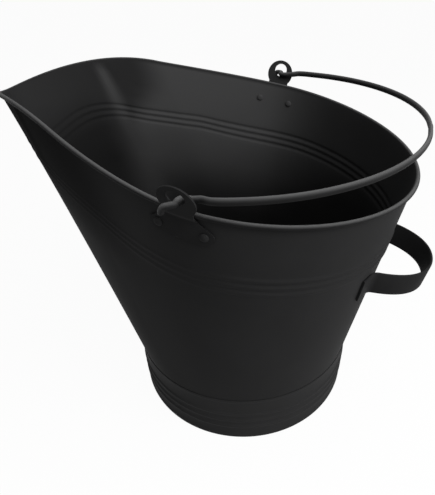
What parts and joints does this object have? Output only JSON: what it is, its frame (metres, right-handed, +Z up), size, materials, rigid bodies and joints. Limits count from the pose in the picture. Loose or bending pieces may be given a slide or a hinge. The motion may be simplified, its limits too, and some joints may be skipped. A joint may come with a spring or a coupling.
{
  "type": "coal scuttle",
  "caption": "Black sheet steel coal scuttle with a drawn-out pouring lip, rolled rim, beaded wall, round foot, swinging bail and rear tipping handle.",
  "frame": {"origin": "on the floor, in the middle of the scuttle's overall length and width", "axes": "+Z up, +Y towards the rear handle, so the pouring lip points along -Y; +X to the right when seen from the lip's tip looking to the rear"},
  "size_m": [0.3102, 0.409, 0.3135],
  "materials": {
    "black_paint": "satin black paint on pressed sheet steel",
    "painted_wire": "satin black paint on flattened steel wire",
    "wire_steel": "plain drawn steel wire, hidden inside the rolled rim"
  },
  "bodies": {
    "bucket": {"body_sheet": "black_paint", "rim_wire": "wire_steel", "foot_ring": "black_paint", "bottom_pan": "black_paint", "ear_right": "black_paint", "ear_left": "black_paint", "rivet_right_front": "black_paint", "rivet_left_front": "black_paint", "rivet_right_rear": "black_paint", "rivet_left_rear": "black_paint", "rear_handle": "black_paint"},
    "bail": {"bail": "painted_wire"}
  },
  "joints": [
    {"name": "bail_hinge", "type": "hinge", "parent": "bucket", "child": "bail", "pos_m": [0, 0.02757, 0.29122], "axis": [1, 0, 0], "range_deg": [-12, 165]}
  ]
}
